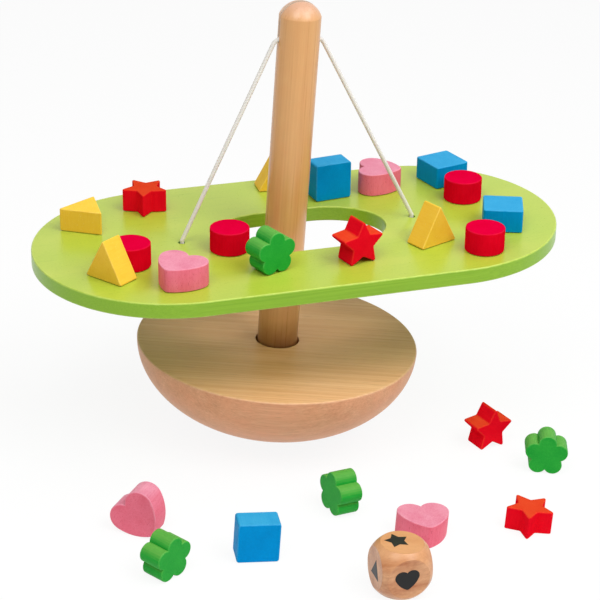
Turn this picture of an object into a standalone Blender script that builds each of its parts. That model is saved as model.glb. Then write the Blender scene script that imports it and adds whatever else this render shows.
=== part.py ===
# Balance seesaw game: a board hung by one cord from a post that stands in a rocking base, with loose
# shape blocks and a symbol die. Metres, +Z up. The base's foot is centred on the origin, and the board's
# long way is X. The board hangs a little tipped, as in the picture.
import math

import bmesh
import bpy
from mathutils import Matrix, Vector

# Room left between two pieces that touch
GAP = 0.0003

# Rocking base: half an ellipsoid on a small flat foot
BASE_DIAMETER = 0.210
BASE_HEIGHT = 0.066
FOOT_DIAMETER = 0.044
BASE_RIM_EASE = 0.0012
SOCKET_DEPTH = 0.036
SOCKET_CLEARANCE = 0.0008
SOCKET_CHAMFER = 0.0006

# Post: dowel with a domed head, sawn across the head for the cord
POST_DIAMETER = 0.030
POST_TOP = 0.3268
POST_DOME = 0.012
POST_FOOT_CHAMFER = 0.0012
CORD_BELOW_TOP = 0.0268
SLOT_CLEARANCE = 0.0003

# Cord and its end knots
CORD_DIAMETER = 0.0032
KNOT_DIAMETER = 0.0094
KNOT_HEIGHT = 0.0066
KNOT_TAIL = 0.008

# Board: BOARD_TOP is its height when level, BOARD_TILT how far its +X end is up, in degrees
BOARD_LENGTH = 0.393
BOARD_WIDTH = 0.202
BOARD_THICKNESS = 0.0115
BOARD_TOP = 0.1539
BOARD_TILT = 3.35
BOARD_EDGE = 0.0011
OPENING_LENGTH = 0.132
OPENING_WIDTH = 0.0735
OPENING_END = 0.047
HOLE_SPACING = 0.177
HOLE_CLEARANCE = 0.001

# Blocks, all cut from one thickness of wood. Radii run from the shape's centre.
BLOCK_THICKNESS = 0.0172
BLOCK_EDGE = 0.0007
BLOCK_CORNER = 0.001
SQUARE_SIDE = 0.029
SQUARE_CORNER = 0.0018
ROUND_DIAMETER = 0.0285
TRIANGLE_BASE = 0.0332
TRIANGLE_HEIGHT = 0.030
STAR_TIP_RADIUS = 0.0179
STAR_NOTCH_RADIUS = 0.009
FLOWER_TIP_RADIUS = 0.0161
FLOWER_NOTCH_RADIUS = 0.0116
HEART_LOBE_RADIUS = 0.0102
HEART_LOBE_SPREAD = 0.0082
HEART_FLANK_RADIUS = 0.033
HEART_TIP_DEPTH = 0.018
HEART_TIP_RADIUS = 0.0042

# Die: a cube with its edges and corners turned away by a ball
DIE_EDGE = 0.035
DIE_FACE_DIAMETER = 0.029

# One block stands close behind another, and one on the brink of the board's opening
NEIGHBOUR_GAP = 0.0006
NEIGHBOUR_SLIDE = 0.003
BRINK_ANGLE = 214.0
BRINK_OFFSET = 0.0006

# How finely round shapes are drawn
BASE_SIDES = 64
POST_SIDES = 48
ROUND_SIDES = 40
CORD_SIDES = 12
CORNER_STEPS = 3

# Blocks on the board: x and y as shares of its half length and half width, then the heading in degrees
BOARD_PLACES = {
    "triangle_block_1": (-0.761, 0.442, -31.7),
    "triangle_block_2": (-0.763, -0.440, -54.8),
    "triangle_block_3": (0.043, 0.822, -3.2),
    "triangle_block_4": (0.437, -0.468, 21.5),
    "round_block_3": (0.702, 0.226, 0.0),
    "round_block_4": (0.599, -0.701, 0.0),
    "square_block_1": (0.210, 0.541, 6.5),
    "square_block_2": (0.691, 0.606, 13.9),
    "square_block_3": (0.748, -0.333, -21.5),
    "heart_block_1": (-0.526, -0.642, -48.0),
    "heart_block_2": (0.399, 0.610, 68.0),
    "star_block_1": (-0.504, 0.676, 18.2),
    "star_block_2": (0.119, -0.621, 15.2),
    "flower_block_1": (-0.206, -0.613, 19.5),
}

# Pieces on the floor: x and y as shares of the base's radius, then the heading in degrees
FLOOR_PLACES = {
    "star_block_3": (1.410, -0.661, 14.6),
    "star_block_4": (1.239, -1.818, 10.2),
    "square_block_4": (-0.653, -1.806, -7.6),
    "heart_block_3": (0.505, -1.735, -5.5),
    "heart_block_4": (-1.334, -1.340, -38.5),
    "flower_block_2": (1.681, -1.084, -21.0),
    "flower_block_3": (0.066, -1.348, -79.5),
    "flower_block_4": (-1.277, -1.893, 33.0),
    "symbol_die": (0.119, -2.345, -0.5),
}

# The blocks that stand on an edge; the others lie flat
STANDING = (
    "triangle_block_2", "triangle_block_3", "triangle_block_4", "square_block_1", "square_block_4",
    "star_block_2", "star_block_3", "heart_block_4",
    "flower_block_1", "flower_block_2", "flower_block_3", "flower_block_4",
)

# Colours as seen, red, green and blue from 0 to 255, then the roughness
FINISHES = {
    "base_wood": (214, 168, 118, 0.55),
    "post_wood": (224, 174, 118, 0.5),
    "board_paint": (166, 204, 66, 0.4),
    "cord_cotton": (226, 220, 204, 0.9),
    "triangle_stain": (244, 194, 50, 0.5),
    "round_stain": (206, 12, 42, 0.45),
    "square_stain": (34, 140, 200, 0.5),
    "heart_stain": (236, 128, 160, 0.5),
    "star_stain": (230, 44, 22, 0.5),
    "flower_stain": (40, 158, 60, 0.5),
    "die_wood": (226, 172, 122, 0.5),
}


def clear_scene():
    for obj in list(bpy.data.objects):
        bpy.data.objects.remove(obj, do_unlink=True)


def add_collection(name):
    collection = bpy.data.collections.new(name)
    bpy.context.scene.collection.children.link(collection)
    return collection


def linear(value):
    share = value / 255
    if share <= 0.04045:
        return share / 12.92
    return ((share + 0.055) / 1.055) ** 2.4


def make_finish(name):
    red, green, blue, roughness = FINISHES[name]
    color = (linear(red), linear(green), linear(blue), 1.0)
    material = bpy.data.materials.new(name)
    material.use_nodes = True
    shader = material.node_tree.nodes["Principled BSDF"]
    shader.inputs["Base Color"].default_value = color
    shader.inputs["Roughness"].default_value = roughness
    shader.inputs["Metallic"].default_value = 0.0
    material.diffuse_color = color
    return material


def add_empty(name, parent, place):
    empty = bpy.data.objects.new(name, None)
    parts.objects.link(empty)
    empty.parent = parent
    empty.matrix_basis = place
    return empty


def add_part(name, mesh, finish, parent=None, place=None):
    obj = bpy.data.objects.new(name, mesh)
    parts.objects.link(obj)
    mesh.materials.append(finishes[finish])
    obj.parent = parent
    if place is not None:
        obj.matrix_basis = place
    return obj


def add_cutter(name, mesh):
    cutter = bpy.data.objects.new(name, mesh)
    cutters.objects.link(cutter)
    cutter.hide_render = True
    cutter.display_type = "WIRE"
    return cutter


def cut(obj, cutter, operation="DIFFERENCE"):
    modifier = obj.modifiers.new(cutter.name, "BOOLEAN")
    modifier.object = cutter
    modifier.operation = operation
    modifier.solver = "EXACT"


def ease_edges(obj, width, segments=1):
    modifier = obj.modifiers.new("eased_edges", "BEVEL")
    modifier.width = width
    modifier.segments = segments
    modifier.limit_method = "ANGLE"
    modifier.angle_limit = math.radians(50)


def finish_mesh(obj, sharp_degrees=35):
    # Bakes the modifiers, then shades round faces smooth and keeps real edges crisp.
    graph = bpy.context.evaluated_depsgraph_get()
    mesh = bpy.data.meshes.new_from_object(obj.evaluated_get(graph))
    obj.modifiers.clear()
    obj.data = mesh
    mesh.name = obj.name
    mesh.shade_smooth()
    mesh.set_sharp_from_angle(angle=math.radians(sharp_degrees))


def turn_profile(obj, sides):
    modifier = obj.modifiers.new("turned", "SCREW")
    modifier.axis = "Z"
    modifier.steps = sides
    modifier.render_steps = sides
    modifier.use_merge_vertices = True
    modifier.merge_threshold = 0.00001


def profile_mesh(name, profile):
    # A line of (radius, height) points that runs from the top of the piece to its bottom.
    shape = bmesh.new()
    points = [shape.verts.new((radius, 0, height)) for radius, height in profile]
    for upper, lower in zip(points, points[1:]):
        shape.edges.new((upper, lower))
    mesh = bpy.data.meshes.new(name)
    shape.to_mesh(mesh)
    shape.free()
    return mesh


def box_mesh(name, low, high):
    low, high = Vector(low), Vector(high)
    shape = bmesh.new()
    bmesh.ops.create_cube(shape, size=1)
    bmesh.ops.scale(shape, vec=high - low, verts=shape.verts)
    bmesh.ops.translate(shape, vec=(low + high) / 2, verts=shape.verts)
    mesh = bpy.data.meshes.new(name)
    shape.to_mesh(mesh)
    shape.free()
    return mesh


def rod_mesh(name, radius, length, sides):
    shape = bmesh.new()
    bmesh.ops.create_cone(shape, cap_ends=True, segments=sides, radius1=radius, radius2=radius, depth=length)
    mesh = bpy.data.meshes.new(name)
    shape.to_mesh(mesh)
    shape.free()
    return mesh


def ball_mesh(name, radius):
    shape = bmesh.new()
    bmesh.ops.create_uvsphere(shape, u_segments=40, v_segments=20, radius=radius)
    mesh = bpy.data.meshes.new(name)
    shape.to_mesh(mesh)
    shape.free()
    return mesh


def plate_mesh(name, loops, thickness):
    # A flat piece cut to one or more outlines, centred on its thickness.
    curve = bpy.data.curves.new(name, "CURVE")
    curve.dimensions = "2D"
    curve.fill_mode = "BOTH"
    curve.extrude = thickness / 2
    for loop in loops:
        spline = curve.splines.new("POLY")
        spline.points.add(len(loop) - 1)
        for point, (x, y) in zip(spline.points, loop):
            point.co = (x, y, 0, 1)
        spline.use_cyclic_u = True
    guide = bpy.data.objects.new(name + "_outline", curve)
    parts.objects.link(guide)
    graph = bpy.context.evaluated_depsgraph_get()
    mesh = bpy.data.meshes.new_from_object(guide.evaluated_get(graph))
    bpy.data.objects.remove(guide, do_unlink=True)
    shape = bmesh.new()
    shape.from_mesh(mesh)
    bmesh.ops.remove_doubles(shape, verts=shape.verts, dist=0.000002)
    bmesh.ops.dissolve_limit(
        shape, angle_limit=math.radians(0.5), verts=[], edges=shape.edges, use_dissolve_boundaries=False
    )
    bmesh.ops.recalc_face_normals(shape, faces=shape.faces)
    shape.to_mesh(mesh)
    shape.free()
    mesh.name = name
    return mesh


def arc(center, radius, start, end, steps):
    # Points from one angle to another, both in radians and both ends included.
    points = []
    for step in range(steps + 1):
        angle = start + (end - start) * step / steps
        points.append((center[0] + radius * math.cos(angle), center[1] + radius * math.sin(angle)))
    return points


def polar(radius, degrees):
    return (radius * math.cos(math.radians(degrees)), radius * math.sin(math.radians(degrees)))


def rounded(corners, radius):
    # An outline with each corner, in or out, replaced by an arc that touches both of its sides.
    points = []
    for index, corner in enumerate(corners):
        here = Vector(corner)
        back = (Vector(corners[index - 1]) - here).normalized()
        ahead = (Vector(corners[(index + 1) % len(corners)]) - here).normalized()
        half = back.angle(ahead) / 2
        center = here + (back + ahead).normalized() * radius / math.sin(half)
        start = here + back * radius / math.tan(half) - center
        end = here + ahead * radius / math.tan(half) - center
        first = math.atan2(start.y, start.x)
        sweep = (math.atan2(end.y, end.x) - first + math.pi) % (2 * math.pi) - math.pi
        points += arc(center, radius, first, first + sweep, CORNER_STEPS)
    return points


def square_outline():
    half = SQUARE_SIDE / 2
    return rounded([(-half, -half), (half, -half), (half, half), (-half, half)], SQUARE_CORNER)


def triangle_outline():
    # Centred on the triangle's middle, a third of the way up.
    half, third = TRIANGLE_BASE / 2, TRIANGLE_HEIGHT / 3
    return rounded([(0, 2 * third), (-half, -third), (half, -third)], BLOCK_CORNER)


def round_outline():
    return arc((0, 0), ROUND_DIAMETER / 2, 0, 2 * math.pi, ROUND_SIDES)[:-1]


def star_outline():
    corners = []
    for point in range(5):
        corners.append(polar(STAR_TIP_RADIUS, 90 + 72 * point))
        corners.append(polar(STAR_NOTCH_RADIUS, 126 + 72 * point))
    return rounded(corners, BLOCK_CORNER)


def flower_outline():
    # Each petal is one circle through its tip and the two notches beside it.
    tip, notch = FLOWER_TIP_RADIUS, FLOWER_NOTCH_RADIUS
    across, along = notch * math.sin(math.radians(36)), notch * math.cos(math.radians(36))
    reach = (tip ** 2 - notch ** 2) / (2 * (tip - along))
    sweep = math.atan2(across, along - reach)
    points = []
    for petal in range(5):
        heading = math.radians(90 + 72 * petal)
        center = (reach * math.cos(heading), reach * math.sin(heading))
        points += arc(center, tip - reach, heading - sweep, heading + sweep, 8)[:-1]
    return points


def heart_flank():
    # Middle of the right flank's wide arc, which runs on smoothly from the lobe and into the tip.
    lobe, tip = Vector((HEART_LOBE_SPREAD, 0)), Vector((0, -HEART_TIP_DEPTH))
    to_lobe, to_tip = HEART_FLANK_RADIUS - HEART_LOBE_RADIUS, HEART_FLANK_RADIUS - HEART_TIP_RADIUS
    span = (tip - lobe).length
    way = (tip - lobe) / span
    along = (to_lobe ** 2 - to_tip ** 2 + span ** 2) / (2 * span)
    return lobe + way * along + Vector((way.y, -way.x)) * math.sqrt(to_lobe ** 2 - along ** 2)


def heart_outline():
    # Right lobe from the notch round to the flank, the flank, then the tip, then the same mirrored.
    middle = heart_flank()
    notch = math.pi - math.acos(HEART_LOBE_SPREAD / HEART_LOBE_RADIUS)
    upper = math.atan2(-middle.y, HEART_LOBE_SPREAD - middle.x)
    lower = math.atan2(-HEART_TIP_DEPTH - middle.y, -middle.x)
    half = arc((HEART_LOBE_SPREAD, 0), HEART_LOBE_RADIUS, notch, upper, 12)
    half += arc(middle, HEART_FLANK_RADIUS, upper, lower, 6)[1:]
    half += arc((0, -HEART_TIP_DEPTH), HEART_TIP_RADIUS, lower, -math.pi / 2, 3)[1:]
    return half + [(-x, y) for x, y in half[-2:0:-1]]


def heart_lean():
    # A heart on its left flank rolls until its own middle is straight above where it rests.
    outline = heart_outline()
    area = height = 0.0
    for (x, y), (next_x, next_y) in zip(outline, outline[1:] + outline[:1]):
        slice_area = x * next_y - next_x * y
        area += slice_area
        height += slice_area * (y + next_y) / 3
    middle = heart_flank()
    return math.pi / 2 + math.atan2(height / area - middle.y, -middle.x)


OUTLINES = {
    "triangle": triangle_outline,
    "round": round_outline,
    "square": square_outline,
    "heart": heart_outline,
    "star": star_outline,
    "flower": flower_outline,
}


def add_base():
    radius, height = BASE_DIAMETER / 2, BASE_HEIGHT
    bore = POST_DIAMETER / 2 + SOCKET_CLEARANCE
    # The ellipse is cut off by the foot, so it is a little deeper than the base is high.
    depth = height / math.sqrt(1 - (FOOT_DIAMETER / BASE_DIAMETER) ** 2)
    first = math.asin(BASE_RIM_EASE / depth)
    last = math.asin(height / depth)
    rim = radius * math.cos(first)
    profile = [(0, height - SOCKET_DEPTH), (bore, height - SOCKET_DEPTH)]
    profile += [(bore, height - SOCKET_CHAMFER), (bore + SOCKET_CHAMFER, height)]
    profile += arc((rim - BASE_RIM_EASE, height - BASE_RIM_EASE), BASE_RIM_EASE, math.pi / 2, 0, 3)
    for step in range(1, 17):
        angle = first + (last - first) * step / 16
        profile.append((radius * math.cos(angle), height - depth * math.sin(angle)))
    profile.append((0, 0))
    base = add_part("rocker_base", profile_mesh("rocker_base", profile), "base_wood")
    turn_profile(base, BASE_SIDES)
    finish_mesh(base)
    return base


def add_post(parent):
    radius, length = POST_DIAMETER / 2, POST_TOP - POST_FOOT
    ball = (radius ** 2 + POST_DOME ** 2) / (2 * POST_DOME)
    spread = math.acos((ball - POST_DOME) / ball)
    profile = []
    for step in range(9):
        angle = spread * step / 8
        profile.append((ball * math.sin(angle), length - ball + ball * math.cos(angle)))
    profile += [(radius, POST_FOOT_CHAMFER), (radius - POST_FOOT_CHAMFER, 0), (0, 0)]
    place = Matrix.Translation((0, 0, POST_FOOT))
    post = add_part("post", profile_mesh("post", profile), "post_wood", parent, place)
    turn_profile(post, POST_SIDES)
    reach, half = POST_DIAMETER, CORD_DIAMETER / 2 + SLOT_CLEARANCE
    floor = CORD_HEIGHT - CORD_DIAMETER / 2 - GAP
    saw = box_mesh("head_slot", (-reach, -half, floor), (reach, half, POST_TOP + POST_DOME))
    cut(post, add_cutter("head_slot", saw))
    finish_mesh(post)
    return post


def add_slot_cord(parent):
    mesh = rod_mesh("slot_cord", CORD_DIAMETER / 2, POST_DIAMETER, CORD_SIDES)
    cord = add_part("slot_cord", mesh, "cord_cotton", parent, Matrix.Rotation(math.pi / 2, 4, "Y"))
    finish_mesh(cord)


def add_cord_run(name, mouth, pin, parent):
    # A straight run with a round end on each of its two pins, so that it turns on them freely.
    radius, length = CORD_DIAMETER / 2, (pin - mouth).length
    profile = []
    for step in range(5):
        angle = math.pi / 8 * step
        profile.append((radius * math.sin(angle), radius * math.cos(angle)))
    for step in range(5):
        angle = math.pi / 2 + math.pi / 8 * step
        profile.append((radius * math.sin(angle), radius * math.cos(angle) - length))
    way = (pin - mouth) / length
    turn = Matrix.Rotation(math.atan2(-way.x, -way.z), 4, "Y")
    place = Matrix.Translation(mouth - Vector((0, 0, CORD_HEIGHT))) @ turn
    run = add_part(name, profile_mesh(name, profile), "cord_cotton", parent, place)
    turn_profile(run, CORD_SIDES)
    finish_mesh(run, 60)


def add_knot(name, x, parent):
    # The cord's end in its hole, the knot that stops it and a short tail.
    thin, thick, half = CORD_DIAMETER / 2, KNOT_DIAMETER / 2, KNOT_HEIGHT / 2
    middle = -(BOARD_THICKNESS + GAP + half)
    start = math.asin(thin / thick)
    profile = [(0, 0), (thin, 0)]
    for step in range(9):
        angle = start + (math.pi - 2 * start) * step / 8
        profile.append((thick * math.sin(angle), middle + half * math.cos(angle)))
    profile += [(thin, middle - half - KNOT_TAIL), (0, middle - half - KNOT_TAIL)]
    place = Matrix.Translation((x, 0, 0))
    knot = add_part(name, profile_mesh(name, profile), "cord_cotton", parent, place)
    turn_profile(knot, CORD_SIDES)
    finish_mesh(knot, 50)


def board_outline():
    radius = BOARD_WIDTH / 2
    center = BOARD_LENGTH / 2 - radius
    right = arc((center, 0), radius, -math.pi / 2, math.pi / 2, 28)
    left = arc((-center, 0), radius, math.pi / 2, 3 * math.pi / 2, 28)
    return right + left


def opening_point(degrees, offset=0.0):
    # A point of the opening's edge, on one of its half-oval ends, moved out by an offset.
    angle = math.radians(degrees)
    straight = math.copysign(OPENING_LENGTH / 2 - OPENING_END, math.cos(angle))
    edge = Vector((OPENING_END * math.cos(angle), OPENING_WIDTH / 2 * math.sin(angle)))
    out = Vector((math.cos(angle) / OPENING_END, 2 * math.sin(angle) / OPENING_WIDTH)).normalized()
    return Vector((straight, 0)) + edge + out * offset


def opening_outline():
    right = [opening_point(-90 + 180 * (step + 0.5) / 24) for step in range(24)]
    left = [opening_point(90 + 180 * (step + 0.5) / 24) for step in range(24)]
    return right + left


def add_board(parent):
    mesh = plate_mesh("seesaw_board", [board_outline(), opening_outline()], BOARD_THICKNESS)
    place = Matrix.Translation((0, 0, -BOARD_THICKNESS / 2))
    board = add_part("seesaw_board", mesh, "board_paint", parent, place)
    ease_edges(board, BOARD_EDGE, 2)
    for side, x in (("left", -HOLE_SPACING / 2), ("right", HOLE_SPACING / 2)):
        drill = rod_mesh(side + "_hole", CORD_DIAMETER / 2 + HOLE_CLEARANCE, 3 * BOARD_THICKNESS, 16)
        cutter = add_cutter(side + "_hole", drill)
        cutter.parent = board
        cutter.location.x = x
        cut(board, cutter)
    bpy.context.view_layer.update()
    finish_mesh(board)


def block_kind(name):
    return name.split("_")[0]


def add_block(name, parent, x, y, heading, lift):
    outline = OUTLINES[block_kind(name)]()
    turn = math.radians(heading)
    if name in STANDING:
        lean = heart_lean() if block_kind(name) == "heart" else 0.0
        low = min(px * math.sin(lean) + py * math.cos(lean) for px, py in outline)
        pose = Matrix.Rotation(math.pi / 2, 4, "X") @ Matrix.Rotation(lean, 4, "Z")
        height = lift - low
    else:
        pose = Matrix.Identity(4)
        height = lift + BLOCK_THICKNESS / 2
    place = Matrix.Translation((x, y, height)) @ Matrix.Rotation(turn, 4, "Z") @ pose
    mesh = plate_mesh(name, [outline], BLOCK_THICKNESS)
    block = add_part(name, mesh, block_kind(name) + "_stain", parent, place)
    ease_edges(block, BLOCK_EDGE)
    finish_mesh(block)


def board_places():
    places = {}
    for name, (along, across, heading) in BOARD_PLACES.items():
        places[name] = (along * BOARD_LENGTH / 2, across * BOARD_WIDTH / 2, heading)
    # The first round block stands close behind the second triangle, a little off its middle.
    x, y, heading = places["triangle_block_2"]
    back = polar(BLOCK_THICKNESS / 2 + NEIGHBOUR_GAP + ROUND_DIAMETER / 2, heading + 90)
    side = polar(NEIGHBOUR_SLIDE, heading + 180)
    places["round_block_1"] = (x + back[0] + side[0], y + back[1] + side[1], 0.0)
    # The second stands on the brink of the opening.
    brink = opening_point(BRINK_ANGLE, BRINK_OFFSET)
    places["round_block_2"] = (brink.x, brink.y, 0.0)
    return places


def add_die(parent, x, y, heading):
    half = DIE_EDGE / 2
    place = Matrix.Translation((x, y, half)) @ Matrix.Rotation(math.radians(heading), 4, "Z")
    die = add_part("symbol_die", box_mesh("symbol_die", (-half,) * 3, (half,) * 3), "die_wood", parent, place)
    ball = add_cutter("die_ball", ball_mesh("die_ball", math.hypot(half, DIE_FACE_DIAMETER / 2)))
    ball.parent = die
    cut(die, ball, "INTERSECT")
    bpy.context.view_layer.update()
    finish_mesh(die, 12)


# Heights and pins that follow from the sizes above
POST_FOOT = BASE_HEIGHT - SOCKET_DEPTH + GAP
CORD_HEIGHT = POST_TOP - CORD_BELOW_TOP
MOUTH_X = POST_DIAMETER / 2 + CORD_DIAMETER / 2 + GAP
PIN_LIFT = CORD_DIAMETER / 2 + GAP


def hang_board():
    # Where the deck's middle comes to when the board tips and both cord runs keep their length.
    tilt = math.radians(BOARD_TILT)
    along = Vector((math.cos(tilt), math.sin(tilt)))
    normal = Vector((-along.y, along.x))
    half = HOLE_SPACING / 2
    length = math.hypot(half - MOUTH_X, CORD_HEIGHT - BOARD_TOP - PIN_LIFT)
    between = Vector((MOUTH_X, 0)) - along * half
    middle = Vector((0, CORD_HEIGHT)) - normal * PIN_LIFT
    drop = math.sqrt(length ** 2 - between.length_squared)
    down = Vector((between.y, -between.x)).normalized()
    if down.y > 0:
        down.negate()
    center = middle + down * drop
    pins = [center + normal * PIN_LIFT + along * half * side for side in (-1, 1)]
    return center, pins


def crossing(first, first_end, second, second_end):
    # Where two lines in the XZ plane meet: the point the board turns about.
    way, other = first_end - first, second_end - second
    span = second - first
    share = (span.x * other.y - span.y * other.x) / (way.x * other.y - way.y * other.x)
    return first + way * share


clear_scene()
parts = add_collection("balance_seesaw_game")
cutters = add_collection("cutters")
finishes = {name: make_finish(name) for name in FINISHES}

rocker_base = add_base()
post = add_post(rocker_base)

center, pins = hang_board()
mouths = [Vector((side * MOUTH_X, CORD_HEIGHT)) for side in (-1, 1)]
turn_point = crossing(mouths[0], pins[0], mouths[1], pins[1])

swing_pivot = add_empty("swing_pivot", post, Matrix.Translation((0, 0, CORD_HEIGHT - POST_FOOT)))
seesaw_pivot = add_empty(
    "seesaw_pivot", swing_pivot, Matrix.Translation((turn_point.x, 0, turn_point.y - CORD_HEIGHT))
)
deck_place = Matrix.Translation((center.x - turn_point.x, 0, center.y - turn_point.y))
deck_tilt = Matrix.Rotation(-math.radians(BOARD_TILT), 4, "Y")
board_deck = add_empty("board_deck", seesaw_pivot, deck_place @ deck_tilt)

add_slot_cord(swing_pivot)
for side, mouth, pin in (("left", mouths[0], pins[0]), ("right", mouths[1], pins[1])):
    add_cord_run(side + "_cord_run", mouth.to_3d().xzy, pin.to_3d().xzy, swing_pivot)
add_board(board_deck)
add_knot("left_knot", -HOLE_SPACING / 2, board_deck)
add_knot("right_knot", HOLE_SPACING / 2, board_deck)

for name, (x, y, heading) in board_places().items():
    add_block(name, board_deck, x, y, heading, GAP)
for name, (along, across, heading) in FLOOR_PLACES.items():
    x, y = along * BASE_DIAMETER / 2, across * BASE_DIAMETER / 2
    if name == "symbol_die":
        add_die(rocker_base, x, y, heading)
    else:
        add_block(name, rocker_base, x, y, heading, 0.0)
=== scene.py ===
import math
import random

import bmesh
import bpy
from mathutils import Matrix, Vector


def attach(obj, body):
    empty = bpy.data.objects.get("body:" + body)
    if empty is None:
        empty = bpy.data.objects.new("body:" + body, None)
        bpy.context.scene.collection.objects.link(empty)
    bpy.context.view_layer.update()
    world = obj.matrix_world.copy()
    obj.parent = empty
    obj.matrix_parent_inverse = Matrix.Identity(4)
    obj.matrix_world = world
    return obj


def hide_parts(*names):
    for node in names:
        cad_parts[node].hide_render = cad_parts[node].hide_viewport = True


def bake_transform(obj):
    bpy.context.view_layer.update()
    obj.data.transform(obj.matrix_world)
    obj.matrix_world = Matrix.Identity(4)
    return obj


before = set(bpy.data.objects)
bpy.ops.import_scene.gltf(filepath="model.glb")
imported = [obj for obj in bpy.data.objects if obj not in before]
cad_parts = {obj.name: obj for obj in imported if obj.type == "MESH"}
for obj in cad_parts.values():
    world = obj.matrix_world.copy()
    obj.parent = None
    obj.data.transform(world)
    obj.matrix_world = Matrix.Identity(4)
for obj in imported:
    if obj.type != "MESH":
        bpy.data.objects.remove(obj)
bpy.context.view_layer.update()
scene = bpy.context.scene
scene.view_settings.view_transform = "Standard"
print("frame loaded")

# the deck is the board's top, with its right end up
deckSet = {"centre": (0.010520, 0.0, 0.154297), "tilt": -3.35}
deckPlace = Matrix.Translation(deckSet["centre"]) @ Matrix.Rotation(math.radians(deckSet["tilt"]), 4, "Y")


def srgb(red, green, blue):
    # a colour as read off a screen, 0 to 255, to the linear one that nodes take
    def lift(level):
        level /= 255
        return level / 12.92 if level <= 0.04045 else ((level + 0.055) / 1.055) ** 2.4
    return (lift(red), lift(green), lift(blue), 1.0)


# camera at the photograph's viewing angle
cameraSet = {"place": (-0.4326, -1.2759, 0.7106), "heading": 19.36, "lookDown": 24.416, "roll": 4.326,
             "lens": 119.39, "sensor": 36.0}
cameraData = bpy.data.cameras.new("photoCamera")
cameraData.lens, cameraData.sensor_width = cameraSet["lens"], cameraSet["sensor"]
camera = bpy.data.objects.new("photoCamera", cameraData)
camera.rotation_euler = (
    Matrix.Rotation(math.radians(-cameraSet["heading"]), 3, "Z")
    @ Matrix.Rotation(math.radians(90 - cameraSet["lookDown"]), 3, "X")
    @ Matrix.Rotation(math.radians(cameraSet["roll"]), 3, "Z")
).to_euler()
camera.location = cameraSet["place"]
scene.collection.objects.link(camera)
scene.camera = camera
print("camera set")


# node helpers
def feed(tree, socket, value):
    if isinstance(value, bpy.types.NodeSocket):
        tree.links.new(value, socket)
    else:
        socket.default_value = value


def addNode(tree, kind, **values):
    made = tree.nodes.new("ShaderNode" + kind)
    for name, value in values.items():
        feed(tree, made.inputs[name.replace("_", " ")], value)
    return made


def noise(tree, point, scale, detail=2.0, rough=0.5, bend=0.0):
    made = addNode(tree, "TexNoise", Vector=point, Scale=scale, Detail=detail, Roughness=rough,
                   Distortion=bend)
    return made.outputs[0]


def stretched(tree, point, along, across):
    spread = addNode(tree, "CombineXYZ", X=along, Y=across, Z=across)
    made = tree.nodes.new("ShaderNodeVectorMath")
    made.operation = "MULTIPLY"
    feed(tree, made.inputs[0], point)
    feed(tree, made.inputs[1], spread.outputs[0])
    return made.outputs[0]


def remap(tree, value, low, high, toLow=0.0, toHigh=1.0):
    made = addNode(tree, "MapRange", Value=value, From_Min=low, From_Max=high, To_Min=toLow, To_Max=toHigh)
    return made.outputs[0]


def sums(tree, operation, first, second):
    made = tree.nodes.new("ShaderNodeMath")
    made.operation = operation
    feed(tree, made.inputs[0], first)
    feed(tree, made.inputs[1], second)
    return made.outputs[0]


def tint(tree, share, first, second):
    made = tree.nodes.new("ShaderNodeMix")
    made.data_type = "RGBA"
    feed(tree, made.inputs[0], share)
    feed(tree, made.inputs[6], first)
    feed(tree, made.inputs[7], second)
    return made.outputs[2]


def newGroup(name, takes, gives):
    group = bpy.data.node_groups.new(name, "ShaderNodeTree")
    for label, kind, value in takes:
        socket = group.interface.new_socket(name=label, in_out="INPUT", socket_type=kind)
        if value is not None:
            socket.default_value = value
    for label in gives:
        group.interface.new_socket(name=label, in_out="OUTPUT", socket_type="NodeSocketFloat")
    return group, group.nodes.new("NodeGroupInput").outputs, group.nodes.new("NodeGroupOutput").inputs


def place(tree, group, **values):
    made = tree.nodes.new("ShaderNodeGroup")
    made.node_tree = group
    for name, value in values.items():
        feed(tree, made.inputs[name], value)
    return made.outputs


# grain of wood along the point's X: broad bands, fine fibres and short dark flecks, with the scales of
# bands and flecks given as shares of the fibres'
grainSet = {"bandAlong": 0.16, "bandAcross": 0.14, "fleckAlong": 8.0, "fleckAcross": 2.4}
grainGroup, into, out = newGroup(
    "woodGrain",
    [("Point", "NodeSocketVector", None), ("Along", "NodeSocketFloat", 22.0),
     ("Across", "NodeSocketFloat", 480.0)],
    ["Bands", "Fibre", "Fleck"],
)
wide = stretched(grainGroup, into["Point"],
                 sums(grainGroup, "MULTIPLY", into["Along"], grainSet["bandAlong"]),
                 sums(grainGroup, "MULTIPLY", into["Across"], grainSet["bandAcross"]))
thin = stretched(grainGroup, into["Point"], into["Along"], into["Across"])
dash = stretched(grainGroup, into["Point"],
                 sums(grainGroup, "MULTIPLY", into["Along"], grainSet["fleckAlong"]),
                 sums(grainGroup, "MULTIPLY", into["Across"], grainSet["fleckAcross"]))
bands = noise(grainGroup, wide, scale=1.0, detail=3.0, rough=0.55, bend=0.4)
fibres = noise(grainGroup, thin, scale=1.0, detail=4.0, rough=0.6)
flecks = noise(grainGroup, dash, scale=1.0, detail=1.0)
feed(grainGroup, out["Bands"], remap(grainGroup, bands, low=0.3, high=0.7))
feed(grainGroup, out["Fibre"], remap(grainGroup, fibres, low=0.3, high=0.7))
feed(grainGroup, out["Fleck"], remap(grainGroup, flecks, low=0.64, high=0.74))

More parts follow.
